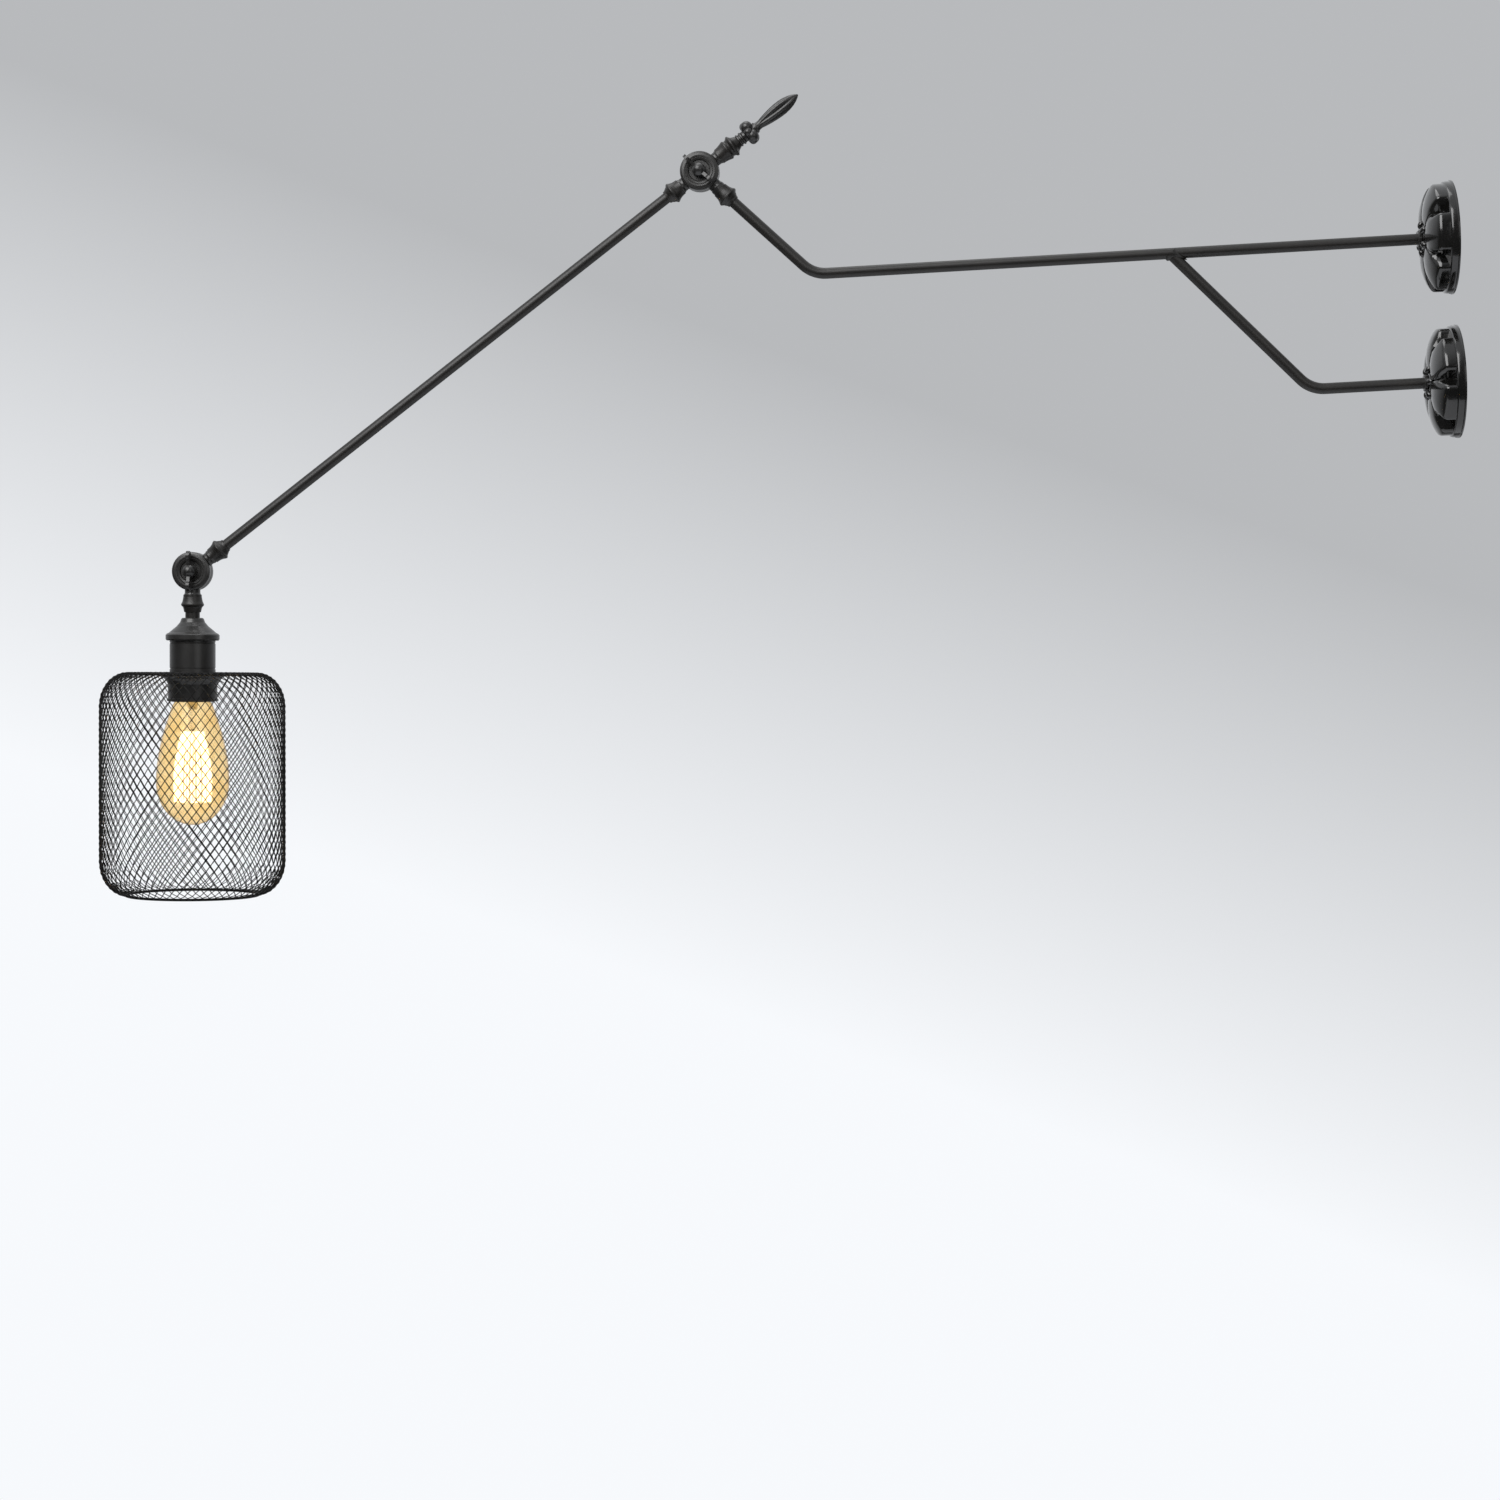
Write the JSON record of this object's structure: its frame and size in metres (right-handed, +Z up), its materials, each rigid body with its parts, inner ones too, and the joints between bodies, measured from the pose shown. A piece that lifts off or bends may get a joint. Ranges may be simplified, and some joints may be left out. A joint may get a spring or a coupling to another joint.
{
  "type": "swing arm wall sconce",
  "caption": "Wall lamp with a braced tube bracket on rosette canopies, a tilting forearm with finial, and a tilting wire mesh shade.",
  "frame": {"origin": "on the wall, at the centre of the upper canopy's back", "axes": "+X into the wall, +Z up, the arm reaches along -X in the plane Y = 0"},
  "size_m": [1.2018, 0.163, 0.6751],
  "materials": {
    "black_paint": "satin black powder coat on cast metal",
    "bronze_black_paint": "semi-gloss warm black lacquer on steel tube",
    "mesh_paint": "satin black powder coat on steel wire",
    "zinc_plate": "bright zinc plate",
    "brass": "plain brass",
    "nickel_base": "nickel-plated brass, rolled thread",
    "white_plastic": "moulded polyamide",
    "black_plastic": "moulded and extruded PVC",
    "green_plastic": "PVC insulation",
    "brown_plastic": "PVC insulation",
    "blue_plastic": "PVC insulation",
    "fibre_washer": "pressed vulcanised fibre",
    "porcelain": "glazed electrical porcelain",
    "amber_glass": "blown glass with an amber tint",
    "clear_glass": "pressed glass stem",
    "glowing_filament": "glowing carbon-style filament"
  },
  "bodies": {
    "bracket": {"upper_canopy": "black_paint", "lower_canopy": "black_paint", "upper_wall_strap": "zinc_plate", "lower_wall_strap": "zinc_plate", "canopy_set_screws": "zinc_plate", "canopy_ring_nuts": "black_paint", "tube_lock_nuts": "zinc_plate", "tube_lock_washers": "zinc_plate", "main_tube": "bronze_black_paint", "brace_tube": "bronze_black_paint", "brace_weld": "bronze_black_paint", "elbow_front_knuckle": "black_paint", "riser_collar": "bronze_black_paint", "terminal_block": "white_plastic", "terminal_screws": "brass", "earth_screw": "brass", "earth_wire": "green_plastic", "line_wire": "brown_plastic", "neutral_wire": "blue_plastic", "tube_end_bush": "black_plastic", "bracket_lead": "black_plastic"},
    "forearm": {"elbow_rear_knuckle": "black_paint", "elbow_washer": "fibre_washer", "elbow_cap_nut": "black_paint", "forearm_elbow_collar": "bronze_black_paint", "forearm_tube": "bronze_black_paint", "forearm_head_collar": "bronze_black_paint", "head_rear_knuckle": "black_paint", "head_washer": "fibre_washer", "head_cap_nut": "black_paint", "forearm_lead": "black_plastic", "finial_collar": "bronze_black_paint", "finial_stud": "zinc_plate", "finial_rings": "black_paint", "finial_ball_cluster": "black_paint", "finial_spear": "black_paint"},
    "lamp_head": {"head_front_knuckle": "black_paint", "lamp_collar": "bronze_black_paint", "lamp_tube": "bronze_black_paint", "bell_cap": "black_paint", "cap_lock_nut": "zinc_plate", "socket_shell": "black_paint", "lampholder": "porcelain", "lampholder_screws": "brass", "screw_shell": "brass", "centre_contact": "brass", "head_lead": "black_plastic", "shade_hub_plate": "mesh_paint", "shade_mesh": "mesh_paint", "shade_top_hoop": "mesh_paint", "shade_mouth_hoop": "mesh_paint"},
    "shade_clamp": {"shade_ring": "black_paint"},
    "bulb": {"bulb_glass": "amber_glass", "bulb_base": "nickel_base", "bulb_stem": "clear_glass", "bulb_filament": "glowing_filament"},
    "elbow_wing": {"elbow_wing_screw": "black_paint"},
    "head_wing": {"head_wing_screw": "black_paint"}
  },
  "joints": [
    {"name": "elbow_tilt", "type": "hinge", "parent": "bracket", "child": "forearm", "pos_m": [-0.64104, 0, 0.09405], "axis": [0, 1, 0], "range_deg": [-60, 39]},
    {"name": "head_tilt", "type": "hinge", "parent": "forearm", "child": "lamp_head", "pos_m": [-1.10664, 0, -0.22955], "axis": [0, 1, 0], "range_deg": [-83, 140]},
    {"name": "elbow_wing_turn", "type": "hinge", "parent": "bracket", "child": "elbow_wing", "pos_m": [-0.64104, 0, 0.09405], "axis": [0, -1, 0], "continuous": true},
    {"name": "head_wing_turn", "type": "hinge", "parent": "lamp_head", "child": "head_wing", "pos_m": [-1.10664, 0, -0.22955], "axis": [0, -1, 0], "continuous": true},
    {"name": "shade_ring_turn", "type": "hinge", "parent": "lamp_head", "child": "shade_clamp", "pos_m": [-1.11145, 0, -0.31842], "axis": [-0.0541, 0, -0.9985], "continuous": true},
    {"name": "bulb_turn", "type": "hinge", "parent": "lamp_head", "child": "bulb", "pos_m": [-1.11118, 0, -0.31343], "axis": [-0.0541, 0, -0.9985], "continuous": true}
  ]
}
